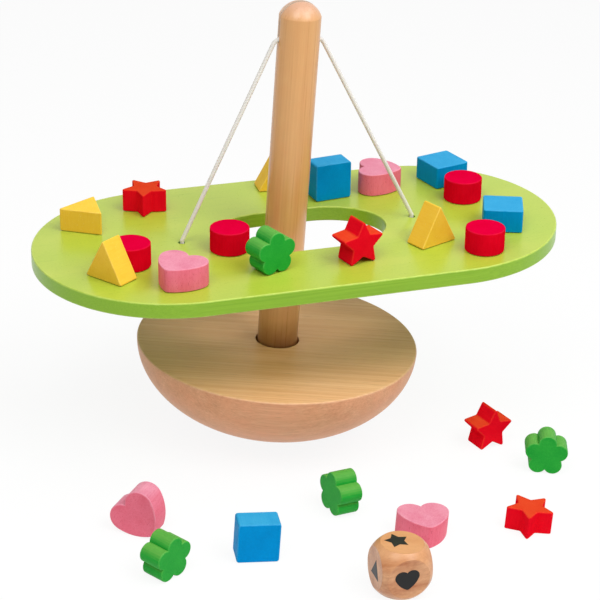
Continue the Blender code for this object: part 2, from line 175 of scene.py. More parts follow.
# how a stain or paint takes: soft clouds, a fine mottle, and specks where the wood shows through
coverSet = {"mottle": 0.55}  # times the specks' scale
coverGroup, into, out = newGroup(
    "colourCover",
    [("Point", "NodeSocketVector", None), ("Cloud size", "NodeSocketFloat", 90.0),
     ("Speck size", "NodeSocketFloat", 1500.0)],
    ["Cloud", "Speck", "Mottle"],
)
clouds = noise(coverGroup, into["Point"], into["Cloud size"], detail=3.0)
specks = noise(coverGroup, into["Point"], into["Speck size"], detail=1.0)
mottleSize = sums(coverGroup, "MULTIPLY", into["Speck size"], coverSet["mottle"])
mottle = noise(coverGroup, into["Point"], mottleSize, detail=3.0, rough=0.6)
feed(coverGroup, out["Cloud"], remap(coverGroup, clouds, low=0.3, high=0.7))
feed(coverGroup, out["Speck"], remap(coverGroup, specks, low=0.7, high=0.78))
feed(coverGroup, out["Mottle"], remap(coverGroup, mottle, low=0.25, high=0.75))

# eased edges in their own colour, broken up in patches: partly wear from handling, mostly a painted
# highlight along the rims, and on the die painted shade along the rings
edgeWearLightGroup, into, out = newGroup(
    "edgeWearAndLight",
    [("Point", "NodeSocketVector", None), ("Eased", "NodeSocketFloat", 0.0),
     ("Amount", "NodeSocketFloat", 0.5)],
    ["Rub"],
)
edgeNoise = noise(edgeWearLightGroup, into["Point"], scale=260.0, detail=3.0, rough=0.6)
patchy = remap(edgeWearLightGroup, edgeNoise, low=0.3, high=0.65, toLow=0.25)
edgeWearLightShare = sums(edgeWearLightGroup, "MULTIPLY", into["Eased"], into["Amount"])
feed(edgeWearLightGroup, out["Rub"], sums(edgeWearLightGroup, "MULTIPLY", edgeWearLightShare, patchy))


def newFinish(name):
    finish = bpy.data.materials.new(name)
    finish.use_nodes = True
    tree = finish.node_tree
    return finish, tree, tree.nodes["Principled BSDF"]


def readLayer(tree, name, output="Fac"):
    # ownPoint: the piece's own coordinates before it was put in its place; easedEdge: its eased faces;
    # the up-facing share: 1 on faces that look up, which are painted paler as painted light from above;
    # sawnFace: faces that the saw left
    made = addNode(tree, "Attribute")
    made.attribute_name = name
    return made.outputs[output]


def bumped(tree, shader, height, strength, depth):
    made = addNode(tree, "Bump", Height=height, Strength=strength, Distance=depth)
    feed(tree, shader.inputs["Normal"], made.outputs[0])


woodSet = {"bumpDepth": 0.0002, "varnishRough": 0.3}


def bareWood(name, look):
    finish, tree, shader = newFinish(name)
    point = readLayer(tree, "ownPoint", "Vector")
    turned = addNode(tree, "Mapping", Vector=point, Rotation=[math.radians(a) for a in look["turn"]])
    grain = place(tree, grainGroup, Point=turned.outputs[0], Along=look["along"], Across=look["across"])
    cover = place(tree, coverGroup, Point=point)
    shade = sums(tree, "ADD", sums(tree, "MULTIPLY", grain["Bands"], look["bandShare"]),
                 sums(tree, "MULTIPLY", grain["Fibre"], 1 - look["bandShare"]))
    colour = tint(tree, shade, srgb(*look["deep"]), srgb(*look["pale"]))
    blush = sums(tree, "MULTIPLY", cover["Cloud"], look["blushShare"])
    colour = tint(tree, blush, colour, srgb(*look["blush"]))
    # painted light: faces that look up take the paler up colours, as if lit from above
    above = tint(tree, shade, srgb(*look["upDeep"]), srgb(*look["upPale"]))
    colour = tint(tree, readLayer(tree, "paintedLitUp"), colour, above)
    flecks = sums(tree, "MULTIPLY", grain["Fleck"], look["fleckShare"])
    colour = tint(tree, flecks, colour, srgb(*look["fleck"]))
    # painted light on eased edges: a paler rim as a painted highlight, on the die a darker ring as painted
    # shade, partly wear
    edgeWearLight = place(tree, edgeWearLightGroup, Point=point, Eased=readLayer(tree, "easedEdge"), Amount=look["edgeWearLight"])
    colour = tint(tree, edgeWearLight["Rub"], colour, srgb(*look["edge"]))
    if "sawn" in look:  # faces left bare by the saw
        colour = tint(tree, readLayer(tree, "sawnFace"), colour, srgb(*look["sawn"]))
    if "paintedFootShade" in look:  # painted shade: the wood darker just above the socket's mouth, where the board shades the post's foot
        mark = look["paintedFootShade"]
        height = addNode(tree, "SeparateXYZ", Vector=point).outputs["Z"]
        rise = remap(tree, height, mark["hidden"], mark["low"], toLow=mark["inside"])
        fade = remap(tree, height, mark["low"], mark["high"], toLow=mark["share"], toHigh=0.0)
        patchy = remap(tree, cover["Cloud"], 0.0, 1.0, toLow=mark["least"])
        paintedShade = sums(tree, "MULTIPLY", sums(tree, "MULTIPLY", rise, fade), patchy)
        colour = tint(tree, paintedShade, colour, srgb(*mark["colour"]))
    feed(tree, shader.inputs["Base Color"], colour)
    feed(tree, shader.inputs["Roughness"], remap(tree, grain["Fibre"], 0.0, 1.0, *look["rough"]))
    relief = sums(tree, "SUBTRACT", grain["Fibre"], grain["Fleck"])
    bumped(tree, shader, relief, look["bump"], woodSet["bumpDepth"])
    shader.inputs["Specular IOR Level"].default_value = look["gloss"]
    shader.inputs["Coat Weight"].default_value = look["varnish"]
    shader.inputs["Coat Roughness"].default_value = woodSet["varnishRough"]
    return finish


stainSet = {"along": 70.0, "across": 900.0, "fibreShare": 0.5, "rough": (0.42, 0.58), "bumpFibre": 0.6,
            "bump": 0.25, "bumpDepth": 0.0001}


def stained(name, look):
    finish, tree, shader = newFinish(name)
    point = readLayer(tree, "ownPoint", "Vector")
    grain = place(tree, grainGroup, Point=point, Along=stainSet["along"], Across=stainSet["across"])
    cover = place(tree, coverGroup, Point=point)
    shade = sums(tree, "ADD", sums(tree, "MULTIPLY", grain["Fibre"], stainSet["fibreShare"]),
                 sums(tree, "MULTIPLY", cover["Cloud"], 1 - stainSet["fibreShare"]))
    # painted light: the sides take the main colours and faces that look up take the paler up colours, as if
    # lit from above
    beside = tint(tree, shade, srgb(*look["deep"]), srgb(*look["main"]))
    above = tint(tree, shade, srgb(*look["upDeep"]), srgb(*look["up"]))
    colour = tint(tree, readLayer(tree, "paintedLitUp"), beside, above)
    flecks = sums(tree, "MULTIPLY", grain["Fleck"], look["fleckShare"])
    colour = tint(tree, flecks, colour, srgb(*look["fleck"]))
    specks = sums(tree, "MULTIPLY", cover["Speck"], look["speckShare"])
    colour = tint(tree, specks, colour, srgb(*look["speck"]))
    # painted highlight: eased edges painted paler along the rims, partly wear
    edgeWearLight = place(tree, edgeWearLightGroup, Point=point, Eased=readLayer(tree, "easedEdge"), Amount=look["edgeWearLight"])
    feed(tree, shader.inputs["Base Color"], tint(tree, edgeWearLight["Rub"], colour, srgb(*look["edge"])))
    feed(tree, shader.inputs["Roughness"], remap(tree, cover["Mottle"], 0.0, 1.0, *stainSet["rough"]))
    fibres = sums(tree, "MULTIPLY", grain["Fibre"], stainSet["bumpFibre"])
    relief = sums(tree, "ADD", fibres, cover["Mottle"])
    bumped(tree, shader, relief, stainSet["bump"], stainSet["bumpDepth"])
    shader.inputs["Specular IOR Level"].default_value = look["gloss"]
    return finish


# mesh helpers: merge and near are lengths, the other two are angles between faces
meshSet = {"merge": 1e-6, "near": 1e-5, "cornerAngle": 0.3, "rimAngle": 1.2}


def keepOwn(bm, shift=(0, 0, 0)):
    layer = bm.verts.layers.float_vector.new("ownPoint")
    for vert in bm.verts:
        vert[layer] = vert.co + Vector(shift)


def bevelEdges(bm, edges, width, steps):
    made = bmesh.ops.bevel(bm, geom=edges, offset=width, offset_type="OFFSET", segments=steps, profile=0.5,
                           affect="EDGES", material=-1, clamp_overlap=True)
    return made["faces"]


def easeEdges(bm, edges, width, steps):
    layer = bm.faces.layers.float.get("easedEdge") or bm.faces.layers.float.new("easedEdge")
    for face in bevelEdges(bm, edges, width, steps):
        face[layer] = 1.0


def tidyMesh(bm):
    bmesh.ops.remove_doubles(bm, verts=bm.verts[:], dist=meshSet["merge"])
    bmesh.ops.recalc_face_normals(bm, faces=bm.faces[:])


def pushFaces(bm, way):
    # gives a flat shape its thickness
    pushed = bmesh.ops.extrude_face_region(bm, geom=bm.faces[:])
    bmesh.ops.translate(bm, vec=way, verts=[v for v in pushed["geom"] if isinstance(v, bmesh.types.BMVert)])


def drawnMesh(holder):
    # an object's mesh as its modifiers or its bevel leave it
    bpy.context.view_layer.update()
    return bpy.data.meshes.new_from_object(holder.evaluated_get(bpy.context.evaluated_depsgraph_get()))


def cutWith(bm, cutter, operation):
    # the boolean of two shapes, back into the first bmesh
    shapes = []
    for name, source in (("cutFrom", bm), ("cutBy", cutter)):
        mesh = bpy.data.meshes.new(name)
        source.to_mesh(mesh)
        shapes.append(bpy.data.objects.new(name, mesh))
        scene.collection.objects.link(shapes[-1])
    change = shapes[0].modifiers.new("cut", "BOOLEAN")
    change.operation, change.solver, change.object = operation, "EXACT", shapes[1]
    result = drawnMesh(shapes[0])
    bm.clear()
    bm.from_mesh(result)
    cutter.free()
    bpy.data.meshes.remove(result)
    for shape in shapes:
        mesh = shape.data
        bpy.data.objects.remove(shape)
        bpy.data.meshes.remove(mesh)
    bmesh.ops.remove_doubles(bm, verts=bm.verts[:], dist=meshSet["merge"])


def meshPiece(name, bm, finish):
    mesh = bpy.data.meshes.new(name)
    mesh.materials.append(finish)
    bm.to_mesh(mesh)
    bm.free()
    piece = bpy.data.objects.new(name, mesh)
    scene.collection.objects.link(piece)
    return piece


paintedLitSet = {"from": 0.25, "over": 0.6}  # how far a face has to look up before it is painted paler, as painted light from above


def newPiece(name, bm, where, body, finish, nodes, sharp=35, paintedLitFrom=paintedLitSet["from"]):
    piece = meshPiece(name, bm, finish)
    mesh = piece.data
    mesh.transform(where)
    mesh.shade_smooth()
    mesh.set_sharp_from_angle(angle=math.radians(sharp))
    # painted light: faces that look up in the rest pose get a share that the finishes use to paint them
    # paler, as if lit from above
    paintedLitLayer = mesh.attributes.new("paintedLitUp", "FLOAT", "FACE")
    for face in mesh.polygons:
        share = (face.normal.z - paintedLitFrom) / paintedLitSet["over"]
        paintedLitLayer.data[face.index].value = min(1.0, max(0.0, share))
    even = piece.modifiers.new("evenShade", "WEIGHTED_NORMAL")  # keeps wide faces flat beside eased edges
    even.keep_sharp = True
    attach(piece, body)
    if nodes:
        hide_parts(*nodes)
    return piece


def startVert(bm, *at):
    return bm.verts.new(at)


def drawOn(bm, last, *points):
    for point in points:
        vert = bm.verts.new(point)
        bm.edges.new((last, vert))
        last = vert
    return last


def sweep(bm, last, centre, axis, degrees, steps):
    made = bmesh.ops.spin(bm, geom=[last], cent=centre, axis=axis, angle=math.radians(degrees), steps=steps)
    return [part for part in made["geom_last"] if isinstance(part, bmesh.types.BMVert)][0]


def turnSolid(bm, steps):
    bmesh.ops.spin(bm, geom=bm.verts[:] + bm.edges[:], cent=(0, 0, 0), axis=(0, 0, 1), angle=math.tau,
                   steps=steps, use_merge=True)
    tidyMesh(bm)


def rimEdges(bm, height, radius):
    def onRim(vert):
        off = max(abs(vert.co.z - height), abs(vert.co.xy.length - radius))
        return off < meshSet["near"]
    return [e for e in bm.edges if all(onRim(v) for v in e.verts)]


# cord: two runs from the middle of the slot, out of its mouths and down to the board's holes
cordSet = {"diameter": 0.0032, "mouth": 0.0169, "height": 0.3000, "bend": 0.007, "bendSteps": 12,
           "pitch": 0.0072, "strands": 3, "groove": 0.00006, "step": 0.00035, "sides": 24, "tuck": 0.001,
           "hole": 0.0885, "pinLift": 0.0019, "pull": 0.0005, "blendBefore": 0.005, "blendAfter": 0.008,
           "pathStep": 0.006}
cordLook = {"pale": (239, 236, 231), "deep": (229, 225, 218), "fuzz": 1400.0, "soil": 70.0,
            "soilShare": 0.25, "rough": (0.8, 0.95), "bump": 0.2, "bumpDepth": 0.0001, "sheen": 0.15}

cotton, tree, shader = newFinish("cordCotton")
point = readLayer(tree, "ownPoint", "Vector")
fuzz = noise(tree, point, cordLook["fuzz"])
soil = noise(tree, point, cordLook["soil"])
deepCotton = srgb(*cordLook["deep"])
cottonColour = tint(tree, remap(tree, fuzz, low=0.3, high=0.7), deepCotton, srgb(*cordLook["pale"]))
soiled = remap(tree, soil, low=0.4, high=0.75, toHigh=cordLook["soilShare"])
feed(tree, shader.inputs["Base Color"], tint(tree, soiled, cottonColour, deepCotton))
feed(tree, shader.inputs["Roughness"], remap(tree, fuzz, 0.2, 0.8, *cordLook["rough"]))
bumped(tree, shader, fuzz, cordLook["bump"], cordLook["bumpDepth"])
shader.inputs["Sheen Weight"].default_value = cordLook["sheen"]


def roundedRoute(points, bend, steps):
    # a line through the points with its corners rounded to one radius
    route = [points[0]]
    for before, corner, after in zip(points, points[1:], points[2:]):
        into, out = (corner - before).normalized(), (after - corner).normalized()
        turn = into.angle(out)
        back = bend * math.tan(turn / 2)
        axis = into.cross(out).normalized()
        first = corner - into * back
        middle = first + (Matrix.Rotation(math.pi / 2, 3, axis) @ into) * bend
        for i in range(steps + 1):
            route.append(middle + Matrix.Rotation(turn * i / steps, 3, axis) @ (first - middle))
    return route + [points[-1]]


def routeLengths(route):
    return [(b - a).length for a, b in zip(route, route[1:])]


def evenRoute(route, step):
    # the same line with its points evenly spaced
    lengths = routeLengths(route)
    count = max(2, round(sum(lengths) / step))
    spaced, walked, leg = [], 0.0, 0
    for i in range(count + 1):
        want = sum(lengths) * i / count
        while leg < len(lengths) - 1 and walked + lengths[leg] < want:
            walked += lengths[leg]
            leg += 1
        spaced.append(route[leg].lerp(route[leg + 1], min(1.0, (want - walked) / lengths[leg])))
    return spaced


def twistedCord(name, route, turned=0.0):
    # three strands laid round each other, drawn as a tube with shallow grooves that wind along it
    line = bpy.data.curves.new(name + "Line", "CURVE")
    line.dimensions, line.bevel_depth = "3D", cordSet["diameter"] / 2
    line.bevel_resolution, line.twist_mode = (cordSet["sides"] - 4) // 2, "MINIMUM"
    spline = line.splines.new("POLY")
    spaced = evenRoute(route, cordSet["step"])
    spline.points.add(len(spaced) - 1)
    for spot, at in zip(spline.points, spaced):
        spot.co = (*at, 1)
    holder = bpy.data.objects.new(name + "Line", line)
    scene.collection.objects.link(holder)
    drawn = drawnMesh(holder)
    bm = bmesh.new()
    bm.from_mesh(drawn)
    bpy.data.meshes.remove(drawn)
    bpy.data.objects.remove(holder)
    bpy.data.curves.remove(line)
    wind = math.tau * cordSet["step"] / cordSet["pitch"]
    for i, vert in enumerate(bm.verts):  # the tube's vertices come ring by ring
        ring, side = divmod(i, cordSet["sides"])
        angle = math.tau * side / cordSet["sides"] - turned - wind * ring
        reach = cordSet["diameter"] / 2 - cordSet["groove"] * (1 - math.cos(cordSet["strands"] * angle))
        vert.co = spaced[ring] + (vert.co - spaced[ring]).normalized() * reach
    bmesh.ops.holes_fill(bm, edges=bm.edges[:], sides=0)
    tidyMesh(bm)
    keepOwn(bm)
    return bm, turned + wind * (len(spaced) - 1)


def slotMouth(side):
    return Vector((side * cordSet["mouth"], 0, cordSet["height"]))


def cordEnd(side):
    # the pull of the run draws the cord to the near side of its hole
    return Vector((side * (cordSet["hole"] - cordSet["pull"]), 0, cordSet["pinLift"]))


# knot under the board: lap is where it starts on the run, and the tail's points are from the coil's end
knotSet = {"below": 0.0115, "coil": 0.0030, "turns": 1.9, "ease": 5, "drop": 0.0041, "lean": 0.22,
           "leanTurn": 0.6, "clear": 0.0017, "points": 40, "lap": (-0.0004, 0.0006), "aside": 0.0001,
           "inHole": (-0.0015, -0.005), "neck": 0.001,
           "tail": [(0.0006, 0, -0.003), (0.0016, 0.0004, -0.0085)], "twist": -0.9, "sharp": 60}


def knotRoute(side):
    # through the hole, round itself under the board and out as a short tail
    pin = cordEnd(side)
    hole = side * (cordSet["hole"] - cordSet["pull"])
    run = (deckPlace.inverted().to_3x3() @ (deckPlace @ pin - slotMouth(side))).normalized()
    under = -knotSet["below"]
    upper, lower = knotSet["inHole"]
    route = [pin + run * lap for lap in knotSet["lap"]]
    route += [Vector((hole + side * knotSet["aside"], 0, upper)), Vector((hole, 0, lower)),
              Vector((hole, 0, under + knotSet["neck"]))]
    for i in range(knotSet["points"] + 1):
        share = i / knotSet["points"]
        angle = math.tau * knotSet["turns"] * share
        opened = min(1, knotSet["ease"] * share, knotSet["ease"] * (1 - share))
        reach = knotSet["coil"] * math.sin(math.pi * opened / 2)
        height = under - cordSet["diameter"] / 2 - knotSet["drop"] * share
        height += knotSet["lean"] * reach * math.cos(angle + knotSet["leanTurn"])
        height = min(height, under - knotSet["clear"])
        route.append(Vector((hole + reach * math.cos(angle), side * reach * math.sin(angle), height)))
    bottom = route[-1].z
    route += [Vector((hole + x, y, bottom + z)) for x, y, z in knotSet["tail"]]
    return [deckPlace @ at for at in route]


for sideName, side in (("left", -1), ("right", 1)):
    pin, mouth = deckPlace @ cordEnd(side), slotMouth(side)
    run = (pin - mouth).normalized()
    corners = [Vector((0, 0, cordSet["height"])), mouth, pin]
    route = roundedRoute(corners, cordSet["bend"], cordSet["bendSteps"])
    route[-1] = pin + run * cordSet["tuck"]
    bm, turned = twistedCord(sideName + "Cord", route)
    cordRun = meshPiece(sideName + "Cord", bm, cotton)
    cordRun.data.shade_smooth()
    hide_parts(sideName + "_cord_run", *(["slot_cord"] if side < 0 else []))
    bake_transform(cordRun)

    bm, _ = twistedCord(sideName + "Knot", knotRoute(side), turned + knotSet["twist"])
    knot = newPiece(sideName + "Knot", bm, Matrix.Identity(4), "board", cotton,
                    [sideName + "_knot"], knotSet["sharp"])
    path = evenRoute(route, cordSet["pathStep"])
print("cord laid")


# rocking base: turned half ball with a flat top, a small foot and a blind socket
baseSet = {"radius": 0.105, "height": 0.066, "foot": 0.022, "socket": 0.0163, "socketFloor": 0.030,
           "rim": 0.0013, "rimSteps": 4, "socketRim": 0.0005, "socketSteps": 2, "steps": 160,
           "bowlSteps": 44, "grainAt": (0.31, 0.12, 0.05)}
baseLook = {"turn": (0, 0, 18), "along": 9.0, "across": 900.0, "bandShare": 0.4, "deep": (204, 136, 94),
            "pale": (247, 192, 148), "upDeep": (225, 157, 98), "upPale": (255, 205, 154),
            "blush": (238, 164, 122), "blushShare": 0.45, "fleck": (170, 112, 70), "fleckShare": 0.4,
            "edge": (240, 204, 164), "edgeWearLight": 0.35, "rough": (0.42, 0.55), "bump": 0.2, "gloss": 0.3,
            "varnish": 0.1}
baseWood = bareWood("baseWood", baseLook)
bm = bmesh.new()
footTurn = math.acos(baseSet["foot"] / baseSet["radius"])
last = sweep(bm, startVert(bm, 1, 0, 0), (0, 0, 0), (0, 1, 0), math.degrees(footTurn), baseSet["bowlSteps"])
bowlDepth = baseSet["height"] / math.sin(footTurn)
bmesh.ops.scale(bm, vec=(baseSet["radius"], 1, bowlDepth), verts=bm.verts[:])
bmesh.ops.translate(bm, vec=(0, 0, baseSet["height"]), verts=bm.verts[:])
drawOn(bm, last, (0, 0, 0))
bm.verts.ensure_lookup_table()
drawOn(bm, bm.verts[0], (baseSet["socket"], 0, baseSet["height"]),
       (baseSet["socket"], 0, baseSet["socketFloor"]), (0, 0, baseSet["socketFloor"]))
turnSolid(bm, baseSet["steps"])
outerRim = rimEdges(bm, baseSet["height"], baseSet["radius"])
easeEdges(bm, outerRim, baseSet["rim"], baseSet["rimSteps"])
mouthRim = rimEdges(bm, baseSet["height"], baseSet["socket"])
easeEdges(bm, mouthRim, baseSet["socketRim"], baseSet["socketSteps"])
keepOwn(bm, baseSet["grainAt"])
newPiece("rockerBase", bm, Matrix.Identity(4), "base", baseWood, ["rocker_base"])
print("base turned")


# post: dowel with a domed head, sawn across for the cord, the saw cut's lips eased under the cord
postSet = {"radius": 0.015, "foot": 0.0303, "footEdge": 0.0012, "top": 0.3272, "dome": 0.0105, "steps": 128,
           "domeSteps": 20, "cut": 0.0036, "cutFloor": 0.2981, "lipClear": 0.0003, "lipFrom": 33,
           "lipTurn": 80, "lipSteps": 10, "sawReach": 0.03, "sawTop": 0.34, "sharp": 8,
           "grainAt": (0.02, 0.43, 0.17)}
postLook = {"turn": (0, 90, 0), "along": 9.0, "across": 700.0, "bandShare": 0.5, "deep": (212, 150, 88),
            "pale": (236, 182, 118), "upDeep": (209, 155, 117), "upPale": (218, 169, 137),
            "blush": (228, 160, 96), "blushShare": 0.35, "fleck": (190, 128, 76), "fleckShare": 0.08,
            "edge": (240, 200, 160), "edgeWearLight": 0.4, "rough": (0.26, 0.36), "bump": 0.14, "gloss": 0.6,
            "varnish": 0.2, "sawn": (232, 208, 186),
            # the post painted darker just above the socket's mouth, as painted shade
            "paintedFootShade": {"hidden": 0.231, "low": 0.236, "high": 0.258, "share": 0.85, "inside": 0.2,
                         "least": 0.75, "colour": (128, 72, 28)}}
postWood = bareWood("postWood", postLook)
bm = bmesh.new()
ball = (postSet["radius"] ** 2 + postSet["dome"] ** 2) / (2 * postSet["dome"])
spread = math.degrees(math.acos((ball - postSet["dome"]) / ball))
crown = startVert(bm, 0, 0, postSet["top"])
last = sweep(bm, crown, (0, 0, postSet["top"] - ball), (0, 1, 0), spread, postSet["domeSteps"])
drawOn(bm, last, (postSet["radius"], 0, postSet["foot"] + postSet["footEdge"]),
       (postSet["radius"] - postSet["footEdge"], 0, postSet["foot"]), (0, 0, postSet["foot"]))
turnSolid(bm, postSet["steps"])

# the saw's shape, drawn on the cut's front side and pushed through to its back
cutter = bmesh.new()
lip = cordSet["bend"] - cordSet["diameter"] / 2 - postSet["lipClear"]
flat = cordSet["mouth"] - cordSet["bend"] * math.tan(math.radians(postSet["lipFrom"]))
front, floor, lipFoot = -postSet["cut"] / 2, postSet["cutFloor"], postSet["cutFloor"] - lip
reach, top = postSet["sawReach"], postSet["sawTop"]
right = startVert(cutter, flat, front, floor)
left = drawOn(cutter, right, (-flat, front, floor))
left = sweep(cutter, left, (-flat, front, lipFoot), (0, -1, 0), postSet["lipTurn"], postSet["lipSteps"])
right = sweep(cutter, right, (flat, front, lipFoot), (0, 1, 0), postSet["lipTurn"], postSet["lipSteps"])
left = drawOn(cutter, left, (-reach, front, left.co.z), (-reach, front, top))
right = drawOn(cutter, right, (reach, front, right.co.z), (reach, front, top))
cutter.edges.new((left, right))
bmesh.ops.contextual_create(cutter, geom=cutter.edges[:])
pushFaces(cutter, (0, postSet["cut"], 0))
tidyMesh(cutter)
cutWith(bm, cutter, "DIFFERENCE")
sawn = bm.faces.layers.float.new("sawnFace")
for face in bm.faces:
    middle = face.calc_center_median()
    face[sawn] = float(middle.z > lipFoot and abs(middle.y) < postSet["cut"] / 2 + meshSet["near"])
keepOwn(bm, postSet["grainAt"])
newPiece("standPost", bm, Matrix.Identity(4), "post", postWood, ["post"], postSet["sharp"])
print("post turned and sawn")


# board: half-round ends, a long opening for the post and two cord holes, the edges of the outline and the
# opening eased
boardSet = {"halfLength": 0.1965, "halfWidth": 0.101, "thickness": 0.0115, "edge": 0.0011, "edgeSteps": 4,
            "opening": 0.066, "openingWidth": 0.03675, "openingEnd": 0.047, "endSteps": 72,
            "openingSteps": 72, "hole": 0.0026, "holeSteps": 40, "drill": 0.05, "sharp": 30,
            "grainAt": (0.07, 0.23, 0.61)}
boardLook = {"deep": (130, 180, 32), "main": (151, 196, 46), "upDeep": (168, 194, 50), "up": (182, 203, 68),
             "along": 7.0, "across": 260.0, "cloud": 26.0, "speck": 1300.0, "sideAlong": 12.0,
             "sideAcross": 1500.0, "streak": (197, 208, 82), "streakShare": 0.7, "fibre": (120, 164, 30),
             "fibreShare": 0.15, "edge": (206, 226, 110), "edgeWearLight": 0.5, "rough": (0.26, 0.38),
             "bumpFibre": 0.7, "bump": 0.14, "bumpDepth": 0.00012, "gloss": 0.35, "varnish": 0.1,
             "varnishRough": 0.25}
boardPaint, tree, shader = newFinish("boardPaint")
point = readLayer(tree, "ownPoint", "Vector")
grain = place(tree, grainGroup, Point=point, Along=boardLook["along"], Across=boardLook["across"])
sides = place(tree, grainGroup, Point=point, Along=boardLook["sideAlong"], Across=boardLook["sideAcross"])
cover = place(tree, coverGroup, Point=point,
              **{"Cloud size": boardLook["cloud"], "Speck size": boardLook["speck"]})
beside = tint(tree, sides["Fibre"], srgb(*boardLook["deep"]), srgb(*boardLook["main"]))
above = tint(tree, cover["Mottle"], srgb(*boardLook["upDeep"]), srgb(*boardLook["up"]))
streaks = sums(tree, "MULTIPLY", grain["Bands"], cover["Cloud"])
streaks = sums(tree, "MULTIPLY", streaks, boardLook["streakShare"])
above = tint(tree, streaks, above, srgb(*boardLook["streak"]))
# painted light: faces that look up take the paler top colour and the sides the darker green, as if lit from
# above
paint = tint(tree, readLayer(tree, "paintedLitUp"), beside, above)
fibres = sums(tree, "MULTIPLY", grain["Fleck"], boardLook["fibreShare"])
paint = tint(tree, fibres, paint, srgb(*boardLook["fibre"]))
# painted highlight: the eased rim painted a paler green, partly wear
edgeWearLight = place(tree, edgeWearLightGroup, Point=point, Eased=readLayer(tree, "easedEdge"), Amount=boardLook["edgeWearLight"])
feed(tree, shader.inputs["Base Color"], tint(tree, edgeWearLight["Rub"], paint, srgb(*boardLook["edge"])))
feed(tree, shader.inputs["Roughness"], remap(tree, cover["Mottle"], 0.0, 1.0, *boardLook["rough"]))
relief = sums(tree, "ADD", sums(tree, "MULTIPLY", grain["Fibre"], boardLook["bumpFibre"]), cover["Mottle"])
bumped(tree, shader, relief, boardLook["bump"], boardLook["bumpDepth"])
shader.inputs["Specular IOR Level"].default_value = boardLook["gloss"]
shader.inputs["Coat Weight"].default_value = boardLook["varnish"]
shader.inputs["Coat Roughness"].default_value = boardLook["varnishRough"]

bm = bmesh.new()
straight = boardSet["halfLength"] - boardSet["halfWidth"]
sweep(bm, startVert(bm, 0, -boardSet["halfWidth"], 0), (0, 0, 0), (0, 0, 1), 180, boardSet["endSteps"])
bmesh.ops.translate(bm, vec=(straight, 0, 0), verts=bm.verts[:])
outer = bm.verts[:]
inside = startVert(bm, 0, -boardSet["openingWidth"], 0)
sweep(bm, inside, (0, 0, 0), (0, 0, 1), 180, boardSet["openingSteps"])
inner = [v for v in bm.verts if v not in outer]
bmesh.ops.scale(bm, vec=(boardSet["openingEnd"] / boardSet["openingWidth"], 1, 1), verts=inner)
bmesh.ops.translate(bm, vec=(boardSet["opening"] - boardSet["openingEnd"], 0, 0), verts=inner)
bmesh.ops.mirror(bm, geom=bm.verts[:] + bm.edges[:], axis="X", merge_dist=0)
ends = [v for v in bm.verts if len(v.link_edges) == 1]
for east in [v for v in ends if v.co.x > 0]:
    bm.edges.new((east, min((v for v in ends if v.co.x < 0), key=lambda v: abs(v.co.y - east.co.y))))
bmesh.ops.bridge_loops(bm, edges=bm.edges[:])
pushFaces(bm, (0, 0, -boardSet["thickness"]))
tidyMesh(bm)
rims = [e for e in bm.edges if len(e.link_faces) == 2 and e.calc_face_angle(0) > meshSet["rimAngle"]]
easeEdges(bm, rims, boardSet["edge"], boardSet["edgeSteps"])
for side in (-1, 1):
    cutter = bmesh.new()
    bmesh.ops.create_cone(cutter, cap_ends=True, segments=boardSet["holeSteps"], radius1=boardSet["hole"],
                          radius2=boardSet["hole"], depth=boardSet["drill"],
                          matrix=Matrix.Translation((side * cordSet["hole"], 0, 0)))
    cutWith(bm, cutter, "DIFFERENCE")
keepOwn(bm, boardSet["grainAt"])
newPiece("swingBoard", bm, deckPlace, "board", boardPaint, ["seesaw_board"],
         boardSet["sharp"])
print("board cut and painted")


# blocks: outlines drawn in the flat, pushed to one thickness, then eased
blockSet = {"thickness": 0.0172, "edge": 0.0008, "edgeSteps": 3, "cornerSteps": 4, "seat": 0.0003,
            "least": 0.00003, "seed": 24, "grainReach": 3}


def heightOf(edge):
    return abs(edge.verts[0].co.z - edge.verts[1].co.z)


def pushUp(bm, thickness):
    tidyMesh(bm)
    pushFaces(bm, (0, 0, thickness))
    bmesh.ops.translate(bm, vec=(0, 0, -thickness / 2), verts=bm.verts[:])
    tidyMesh(bm)


def roundCorners(bm, radius, steps):
    # each upright edge gets the width along its faces that gives one radius
    widths = {}
    for edge in bm.edges:
        angle = edge.calc_face_angle(0) if len(edge.link_faces) == 2 else 0
        if angle > meshSet["cornerAngle"] and heightOf(edge) > meshSet["near"]:
            widths.setdefault(round(radius * math.tan(angle / 2), 6), []).append(edge)
    for width, edges in widths.items():
        bevelEdges(bm, edges, width, steps)


def easeRims(bm, width, steps):
    rims = [e for e in bm.edges if len(e.link_faces) == 2 and e.calc_face_angle(0) > meshSet["rimAngle"]
            and heightOf(e) < meshSet["merge"]]
    easeEdges(bm, rims, width, steps)


def triangleOutline(bm, size):
    bmesh.ops.create_circle(bm, cap_ends=True, segments=3, radius=1)
    bmesh.ops.scale(bm, vec=(size["base"] / math.sqrt(3), size["height"] / 1.5, 1), verts=bm.verts[:])


def squareOutline(bm, size):
    bmesh.ops.create_circle(bm, cap_ends=True, segments=4, radius=size["side"] / math.sqrt(2),
                            matrix=Matrix.Rotation(math.pi / 4, 4, "Z"))


def roundOutline(bm, size):
    bmesh.ops.create_circle(bm, cap_ends=True, segments=size["steps"], radius=size["radius"])


def starOutline(bm, size):
    points = 2 * size["tips"]
    bmesh.ops.create_circle(bm, cap_ends=True, segments=points, radius=size["tip"])
    bm.verts.ensure_lookup_table()
    notches = [v for i, v in enumerate(bm.verts) if i % 2]
    bmesh.ops.scale(bm, vec=(size["notch"] / size["tip"], size["notch"] / size["tip"], 1), verts=notches)


